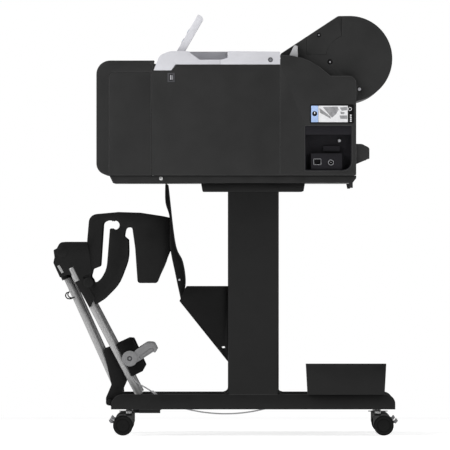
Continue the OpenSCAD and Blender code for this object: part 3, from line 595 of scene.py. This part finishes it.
paper_white = surface("paper_white", (240, 239, 235), 0.85, 0.6, 0.03, 0.015, 40, gap=0.7,
                      Specular_IOR_Level=0.2)
ink_black = surface("ink_tank", (26, 27, 31), 0.4, 0.9, 0.04, 0.08, 40)
circuit = surface("power_unit", (84, 92, 86), 0.5, 0.6, 0.05, 0.12, 15)
cable_grey = surface("cable_grey", (176, 176, 178), 0.5, 0.5, 0.05, 0.05, 12, gap=0.6)
pedal_grey = surface("pedal_grey", (112, 112, 114), 0.42, 0.6, 0.04, 0.06, 12)
steel = brushed("steel", 190, 0.32)
rod_steel = brushed("rod_steel", 96, 0.36)
tube_metal = brushed("tube_aluminium", 158, 0.42, turn=TUBE_LEAN, metallic=0.55)
caster_black = stem_and_plastic("caster_black", 19, 8.3, 0.0546)
window = smoked("smoked_window")
screen = screen_glass("screen_glass", *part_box("touch_screen"))
label_frame = surface("label_frame", 8, 0.35, 0.6, 0.02, 0.05, 20, Specular_IOR_Level=0.15)
label_blue = surface("label_blue", (165, 190, 232), 0.4, 0.6, 0.02, 0.03, 20, gap=0.9)
label_white = surface("label_white", (222, 222, 224), 0.4, 0.6, 0.02, 0.03, 16, gap=0.9)
label_grey = surface("label_grey", (140, 140, 142), 0.4, 0.6, 0.02, 0.12, 9, gap=0.9)
small_plate = surface("small_plate", (70, 70, 73), 0.35, 0.6, 0.03, 0.06, 15, Specular_IOR_Level=0.2)
rim_light = surface("rim_light", (176, 176, 180), 0.35, 0.5, 0.02, 0.05, 6, gap=0.8)

LOOKS = {
    charcoal: ("side_cover_right", "side_cover_left", "tower_panels", "tank_cover_right",
               "tank_cover_left", "rear_cover"),
    hood_black: ("roll_cover",),
    pale: ("top_housing_right", "top_housing_left", "top_cover"),
    panel_pale: ("operator_panel",),
    inner_grey: ("connector_panel", "ejection_guide", "platen", "carriage", "maintenance_cartridge",
                 "roll_spindle"),
    frame_paint: ("main_frame",),
    stand_paint: ("stand_columns", "stand_feet", "stand_stay"),
    gusset_paint: ("gussets",),
    tray_black: ("accessory_pocket",),
    stacker_black: ("stacker_plates", "stacker_brackets"),
    clamp_black: ("clamp_blocks",),
    lever_grey: ("lock_lever_right", "lock_lever_left"),
    release_grey: ("release_lever",),
    rubber: ("drive_belt",) + tuple("caster_wheels_" + c for c in CASTERS),
    roller_rubber: ("feed_roller", "pinch_rollers"),
    button_grey: ("power_button", "stop_button"),
    paper_white: ("paper_roll",),
    ink_black: ("ink_tanks",),
    circuit: ("electrical_units",),
    cable_grey: ("sensor_cable",),
    pedal_grey: tuple("caster_brake_" + c for c in CASTERS),
    steel: ("carriage_rail", "case_screws", "drive_pulley", "idle_pulley"),
    rod_steel: ("stacker_rods",),
    tube_metal: ("stacker_tubes",),
    caster_black: tuple("caster_fork_" + c for c in CASTERS),
    window: ("cover_window",),
    screen: ("touch_screen",),
}


# nodes whose long outer edges are visibly rounded
SOFT_EDGED = ("side_cover_right", "side_cover_left", "tower_panels", "stand_feet")


def dress_nodes():
    """Gives each CAD node its finish, and rounds its edges a little without changing its mesh."""
    for material, names in LOOKS.items():
        for name in names:
            obj = NODES[name]
            obj.data.materials.clear()
            obj.data.materials.append(material)
            round_edges(obj, 1.3 if name in SOFT_EDGED else 0.5)


def round_edges(obj, width_mm):
    """Welds the node's shading and rounds its sharp edges with modifiers."""
    mesh = obj.data
    mesh.polygons.foreach_set("use_smooth", [True] * len(mesh.polygons))
    weld = obj.modifiers.new("weld", "WELD")
    weld.merge_threshold = 0.00001
    bevel = obj.modifiers.new("edges", "BEVEL")
    bevel.width = width_mm * MM
    bevel.segments = 2
    bevel.limit_method = "ANGLE"
    bevel.angle_limit = math.radians(28)
    bevel.harden_normals = True
    bevel.use_clamp_overlap = True


# ---- trims on the printer -------------------------------------------------------------------

def plate(name, corners, height_mm, material, round_mm=0.1):
    """A thin plate on the right cover: corners are (low y, low z, high y, high z, radius)."""
    low, high = spot(corners[0], corners[1]), spot(corners[2], corners[3])
    centre = ((low[0] + high[0]) / 2, (low[1] + high[1]) / 2)
    size = (high[0] - low[0], high[1] - low[1])
    outline = rectangle(centre, size, corners[4] * MM)
    return prism(name, outline, COVER_X - 0.2 * MM, COVER_X + height_mm * MM, material, "printer", round_mm)


def drawing(name, points, height_mm, material):
    """A flat picture element of the label, from its (y, z) corners in millimetres."""
    outline = [spot(y, z) for y, z in points]
    return prism(name, outline, COVER_X, COVER_X + height_mm * MM, material, "printer", 0.05)


def side_label():
    """A generic picture label on the right cover: a blue band and plain shapes beside it."""
    plate("label_frame", (156, 864, 277, 916.5, 3.5), 0.3, label_frame)
    plate("label_band", (159.4, 867.6, 178.6, 913, 1.5), 0.45, label_blue)
    plate("label_field", (179.4, 867.6, 260.6, 913, 0.6), 0.45, label_white)
    plate("label_dot", (162, 884, 176, 898, 6.9), 0.6, label_frame)
    plate("label_dot_mark", (167.6, 890, 170.4, 895.5, 1.2), 0.7, label_white)
    drawing("label_sheet", [(182, 907), (183, 894), (214, 877), (212, 884)], 0.55, label_grey)
    drawing("label_ramp", [(192, 909), (232, 910.5), (236, 903), (228, 890), (217, 880), (211, 886)],
            0.6, label_grey)
    drawing("label_slot", [(238, 908), (259, 910), (259, 901), (244, 899)], 0.55, label_grey)
    drawing("label_tray", [(238, 886), (259, 886), (259, 876), (240, 877)], 0.6, label_grey)
    drawing("label_edge", [(240, 897), (252, 895), (250, 889.5), (241, 890)], 0.55, label_grey)
    # short plain bars down the dark end of the frame
    for i in range(4):
        low = 869 + i * 5.4
        plate("label_bar_%d" % (i + 1), (266.5, low, 271, low + 3.2, 1), 0.45, label_white)
    ring("label_ring", (COVER_X + 0.4 * MM, *spot(266.5, 904)), 4.4 * MM, 0.8 * MM, label_white, "printer")


def ring(name, centre, radius, thickness, material, body, steps=36):
    """A round ring that lies in the side face."""
    points = []
    for i in range(steps + 1):
        a = 2 * math.pi * i / steps
        points.append(Vector(centre) + Vector((0, math.cos(a), math.sin(a))) * radius)
    return swept(name, points, thickness, material, body, 8, 1)


def frame_ring(name, x, corners, thickness, material):
    """A thin rim round a rectangular port: corners are (low y, low z, high y, high z, radius)."""
    low, high = spot(corners[0], corners[1]), spot(corners[2], corners[3])
    centre = ((low[0] + high[0]) / 2, (low[1] + high[1]) / 2)
    outline = rectangle(centre, (high[0] - low[0], high[1] - low[1]), corners[4] * MM)
    points = [(x, y, z) for y, z in outline + outline[:1]]
    return swept(name, points, thickness * MM, material, "printer", 8, 1)


def port_plate():
    """Small plate with a memory-stick port at the front of the right cover."""
    plate("port_plate", (-237.6, 978.3, -217.6, 1004, 1.2), 0.7, small_plate, 0.25)
    plate("port_mouth", (-232.8, 982.4, -222.4, 1000, 0.6), 0.85, label_frame)
    plate("port_tongue", (-230.2, 984.6, -227.6, 997.8, 0.4), 1.0, rim_light)
    plate("port_lip", (-225.6, 984.6, -223.8, 997.8, 0.4), 1.0, rim_light)


def socket_rims():
    """Metal rims of the network and power sockets inside the connector recess."""
    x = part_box("connector_panel")[1].x - 7.3 * MM
    frame_ring("network_rim", x, (166.6, 750.2, 186.6, 766.1, 1.2), 0.55, rim_light)
    ring("power_rim", (x, *spot(214.1, 756.2)), 7 * MM, 0.55 * MM, rim_light, "printer")
    turned("power_pin", [(1.5 * MM, 0), (1.5 * MM, 9 * MM), (0.8 * MM, 9.8 * MM)],
           (x - 10 * MM, *spot(214.1, 756.2)), (1, 0, 0), steel, "printer", 20)


def set_screw(name, x, place, radius_mm, side, body, well, head, head_share=0.42):
    """A small screw head at the bottom of a dark round well."""
    radius = radius_mm * MM
    turned(name + "_well", [(radius, 0), (radius, 0.25 * MM), (radius * 0.9, 0.4 * MM)],
           (x, *place), (side, 0, 0), well, body, 36)
    head_r = radius * head_share
    turned(name, [(head_r, 0), (head_r, 0.7 * MM), (head_r * 0.8, 1.0 * MM), (head_r * 0.35, 1.1 * MM)],
           (x, *place), (side, 0, 0), head, body, 28)


def case_fasteners():
    """Dark washers with the light heads of the visible screws."""
    screws_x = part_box("case_screws")[1].x
    cloth_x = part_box("guide_sheet")[1].x
    for side, tag in SIDES:
        set_screw("hinge_cap_" + tag, side * (screws_x - 0.2 * MM), spot(47, 1040), 6.6, side, "printer",
                  small_plate, button_grey, 0.6)
        set_screw("cloth_rivet_" + tag, side * (cloth_x + 0.5 * MM),
                  spot(-205, 431.6), 4.5, side, "printer", label_frame, rim_light, 0.66)
    set_screw("thumb_screw_face", COVER_X - 28.1 * MM, spot(237.7, 816.6), 5.3, 1, "printer",
              label_frame, rim_light, 0.72)


def hood_screws():
    """Screws at the bottom of the two wells in each cheek of the roll cover, and its pivot caps."""
    cheek_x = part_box("roll_cover")[1].x
    for side, tag in SIDES:
        for i, (y, z, radius) in enumerate(((180.9, 1108.6, 6.3), (211.6, 1034.3, 7.7))):
            set_screw("hood_screw_%s_%d" % (tag, i + 1), side * (cheek_x - 2 * MM), spot(y, z), radius, side,
                      "roll_cover", label_frame, rim_light, 0.3)
        turned("hood_pivot_cap_" + tag, [(4.3 * MM, 0), (4.3 * MM, 0.5 * MM), (3.2 * MM, 1.1 * MM),
                                         (1.2 * MM, 1.35 * MM)],
               (side * (cheek_x + 1.4 * MM), *spot(292.8, 959)), (side, 0, 0), rim_light, "printer", 28)


def panel_trim():
    """Light ring round the power button and a plain mark on each button."""
    for name in ("power_button", "stop_button"):
        low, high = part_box(name)
        centre = (low + high) / 2
        axis = Vector((0, -math.sin(math.radians(60)), math.cos(math.radians(60))))
        top = centre + axis * 2.5 * MM
        if name == "power_button":
            line = [top + ring_offset(axis, 4.2 * MM, a) for a in range(30, 331, 20)]
            swept("power_mark", line, 0.35 * MM, glow, name, 8, 3)
        else:
            line = [top + ring_offset(axis, 3.4 * MM, a) for a in range(45, 406, 90)]
            swept("stop_mark", line, 0.35 * MM, glow, name, 8, 2)


def ring_offset(axis, radius, degrees):
    """Offset to a point on a circle round the axis, just above the button."""
    side = Vector((1, 0, 0))
    up = axis.cross(side).normalized()
    a = math.radians(degrees)
    return side * (radius * math.cos(a)) + up * (radius * math.sin(a)) + axis * 0.05 * MM


def glow_finish():
    """Softly lit print of the button marks."""
    f = Finish("mark_glow")
    f.base(f.mix(f.noise(2, 2), colour_of((150, 190, 220)), colour_of((180, 214, 240))))
    f.set(Roughness=0.4, Emission_Color=colour_of((150, 200, 240)), Emission_Strength=0.8)
    return f.material


glow = glow_finish()


# ---- casters --------------------------------------------------------------------------------

def wheel_trims():
    """Domed hub cap on both wheels of each caster."""
    for c in CASTERS:
        low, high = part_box("caster_wheels_" + c)
        centre = (low + high) / 2
        radius = (high.z - low.z) / 2
        for side in (-1, 1):
            tag = "%s_%s" % (c, "out" if side > 0 else "in")
            face = (centre.x + side * 19.6 * MM, centre.y, centre.z)
            turned("hub_cap_" + tag,
                   [(radius * 0.66, 0), (radius * 0.66, 2.6 * MM), (radius * 0.6, 3.4 * MM),
                    (radius * 0.3, 3.9 * MM), (radius * 0.05, 4.0 * MM)],
                   face, (side, 0, 0), rubber, "caster_wheels_" + c, 48)


# ---- stacker --------------------------------------------------------------------------------

def guide_cloth():
    """Slack cloth sewn into a long pouch: it hangs from the printer's front edge and holds the bar
    between the gussets at its foot."""
    low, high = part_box("guide_sheet")
    size = high - low
    front = [(0.02, 1.0), (0.03, 0.84), (0.24, 0.71), (0.27, 0.46), (0.51, 0.24), (0.78, 0.015)]
    back = [(0.14, 0.995), (0.47, 0.5), (0.83, 0.345), (0.98, 0.18), (0.88, 0.045)]
    walls = []
    for wall in (front, back):
        walls.append(even_points([(low.y + u * size.y, low.z + v * size.z) for u, v in wall], 48))
    obj = pouch("guide_cloth", walls[0], walls[1], low.x, high.x, 90, cloth_black, 2.0)
    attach(obj, "printer")
    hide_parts("guide_sheet")


def stacker_cloth():
    """Cloth of the stacker, sewn to its side plates and laid over the rods."""
    low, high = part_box("stacker_fabric")
    size = high - low
    over = [(0.0, 0.63), (0.005, 0.79), (0.025, 0.9), (0.084, 0.945), (0.246, 0.975), (0.503, 0.995),
            (0.742, 0.975), (0.96, 0.93), (0.985, 0.86), (0.985, 0.46), (0.83, 0.01)]
    path = [(low.y + u * size.y, low.z + v * size.z) for u, v in over]
    columns, rows = 84, 48
    obj = cloth_sheet("stacker_cloth", path, low.x + MM, high.x - MM, columns, rows, cloth_dark, 0.6)
    held = [r * (columns + 1) + c for r in range(rows + 1) for c in range(columns + 1)
            if r in (0, 1, rows - 1, rows) or c in (0, columns)
            or is_over_rod(r / rows)]
    drape(obj, held, 4)
    thicken(obj, 1.0)
    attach(obj, "stacker")
    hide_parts("stacker_fabric")


def is_over_rod(share):
    """True where the stacker's cloth lies on its front or rear rod, by the share of its length."""
    return any(abs(share - rod) < 0.012 for rod in (0.13, 0.60))


def tube_hook():
    """Small hook on the outer tube at each side, for the cloth's cord."""
    for side, tag in SIDES:
        x = side * (OUTER_TUBE_X + 12.3 * MM)
        points = [(x, *spot(y, z)) for y, z in
                  ((-497, 384), (-506, 379), (-516, 380), (-521, 387), (-518, 395), (-511, 396))]
        swept("tube_hook_" + tag, points, 1.7 * MM, clamp_black, "stacker", 10, 6)


def tube_collars():
    """Moulded collar round the outer tube at each side, where it enters the head block."""
    for side, tag in SIDES:
        ends = [(side * OUTER_TUBE_X, *spot(y, z)) for y, z in ((-528, 459), (-523, 448), (-517, 435))]
        swept("tube_collar_" + tag, ends, 14.4 * MM, clamp_black, "stacker", 32, 4)


def stacker_cable():
    """Cable that leaves the clamp block and enters the foot."""
    line = [(0.447, *spot(y, z)) for y, z in
            ((-338, 170), (-331, 155), (-318, 143), (-300, 133), (-284, 123), (-272, 114))]
    obj = swept("stacker_cable", line, 2 * MM, cable_grey, None, 12, 10)
    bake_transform(obj)


def head_discs():
    """Round end caps on the stacker's head and on its lower rod, and the small screw beside them."""
    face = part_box("stacker_plates")[1].x
    for side, tag in SIDES:
        turned("head_disc_" + tag, [(14.2 * MM, 0), (14.2 * MM, 0.8 * MM), (13.2 * MM, 1.4 * MM),
                                    (2 * MM, 1.5 * MM)],
               (side * (face - 0.2 * MM), *spot(-530.7, 508.6)), (side, 0, 0), stacker_black, "stacker", 48)
        turned("rod_disc_" + tag, [(14 * MM, 0), (14 * MM, 1.4 * MM), (12.6 * MM, 2.2 * MM),
                                   (2 * MM, 2.3 * MM)],
               (side * CLAMP_X, *spot(-458.4, 423.8)), (side, 0, 0), stacker_black, "stacker", 48)
        set_screw("head_screw_" + tag, side * CLAMP_X, spot(-484.8, 513.3), 4.7, side, "stacker",
                  label_frame, stacker_black, 0.6)


def tube_windows():
    """Upper ends of both tubes, where they show through the faces of the head blocks."""
    for side, tag in SIDES:
        x = side * (CLAMP_X - 5.4 * MM)
        line = [(x, *spot(y, z)) for y, z in ((-506, 465), (-497, 446), (-488, 428))]
        swept("inner_tube_top_" + tag, line, 8.6 * MM, tube_metal, "stacker", 28, 4)
        x = side * (CLAMP_X - 6.4 * MM)
        line = [(x, *spot(y, z)) for y, z in ((-541, 471), (-535, 461), (-529, 451))]
        swept("outer_tube_top_" + tag, line, 7.4 * MM, tube_metal, "stacker", 28, 4)


def lever_screws():
    """Screw in the hub of each lock lever."""
    for side, tag in SIDES:
        low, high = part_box("lock_lever_" + tag)
        x = high.x - 2 * MM if side > 0 else low.x + 2 * MM
        set_screw("lever_screw_" + tag, x, spot(-342.9, 213), 6.7, side, "lock_lever_" + tag, small_plate,
                  lever_grey, 0.5)


# ---- assembly -------------------------------------------------------------------------------

cloth_black = woven("guide_weave", 15, 0.72, 0.04)
cloth_dark = woven("stacker_weave", 19, 0.5, 0.1)

dress_nodes()
side_label()
port_plate()
socket_rims()
case_fasteners()
hood_screws()
panel_trim()
wheel_trims()
guide_cloth()
stacker_cloth()
tube_hook()
tube_collars()
stacker_cable()
head_discs()
tube_windows()
lever_screws()


# ---- studio ---------------------------------------------------------------------------------

def floor():
    """A wide, plain, pale floor."""
    mesh = bmesh.new()
    bmesh.ops.create_circle(mesh, cap_ends=True, cap_tris=False, segments=96, radius=5.0)
    data = bpy.data.meshes.new("floor")
    mesh.to_mesh(data)
    mesh.free()
    f = Finish("floor_pale")
    f.base(f.mix(f.noise(400, 2), colour_of(250), colour_of(253)))
    f.set(Roughness=0.9, Specular_IOR_Level=0.1, Emission_Color=(1, 1, 1, 1), Emission_Strength=0.6)
    data.materials.append(f.material)
    obj = bpy.data.objects.new("floor", data)
    scene.collection.objects.link(obj)


def soft_light(name, place, aim, size, power):
    """A large rectangular lamp that faces the aim."""
    data = bpy.data.lights.new(name, "AREA")
    data.shape = "RECTANGLE"
    data.size, data.size_y = size
    data.energy = power
    obj = bpy.data.objects.new(name, data)
    obj.location = place
    obj.rotation_euler = (Vector(aim) - Vector(place)).to_track_quat("-Z", "Y").to_euler()
    scene.collection.objects.link(obj)


def studio():
    """White surroundings as the camera sees them, and dimmer ones as light, with three soft lamps."""
    world = bpy.data.worlds.new("studio")
    scene.world = world
    world.use_nodes = True
    tree = world.node_tree
    background = tree.nodes["Background"]
    seen = tree.nodes.new("ShaderNodeLightPath")
    strength = tree.nodes.new("ShaderNodeMapRange")
    strength.inputs["To Min"].default_value = 0.27
    strength.inputs["To Max"].default_value = 1.0
    tree.links.new(seen.outputs["Is Camera Ray"], strength.inputs["Value"])
    tree.links.new(strength.outputs["Result"], background.inputs["Strength"])
    background.inputs["Color"].default_value = (1, 1, 1, 1)
    soft_light("key", (3.2, -3.4, 3.2), (0, -0.1, 0.6), (2.4, 2.4), 122)
    soft_light("fill", (4.5, 2.6, 1.6), (0, 0, 0.6), (2.5, 2.0), 38)
    soft_light("top", (0, 0, 4.2), (0, 0, 0.8), (3.0, 3.0), 62)


def camera():
    """Level view of the right side through a very long lens, so that near and far parts line up."""
    lens = 1700
    sensor = 36
    aim = (CAD_LOW + CAD_HIGH) / 2 + Vector((0, -1.5, 1.0)) * MM
    frame_side = (CAD_HIGH.z - CAD_LOW.z) * 1.067
    distance = frame_side * lens / sensor
    data = bpy.data.cameras.new("camera")
    data.lens = lens
    data.sensor_width = sensor
    data.clip_start = 0.1
    data.clip_end = distance * 2
    obj = bpy.data.objects.new("camera", data)
    obj.location = (CAD_HIGH.x + distance, aim.y, aim.z)
    obj.rotation_euler = (math.pi / 2, 0, math.pi / 2)
    scene.collection.objects.link(obj)
    scene.camera = obj


floor()
studio()
camera()
scene.view_settings.view_transform = "Standard"
scene.view_settings.look = "None"
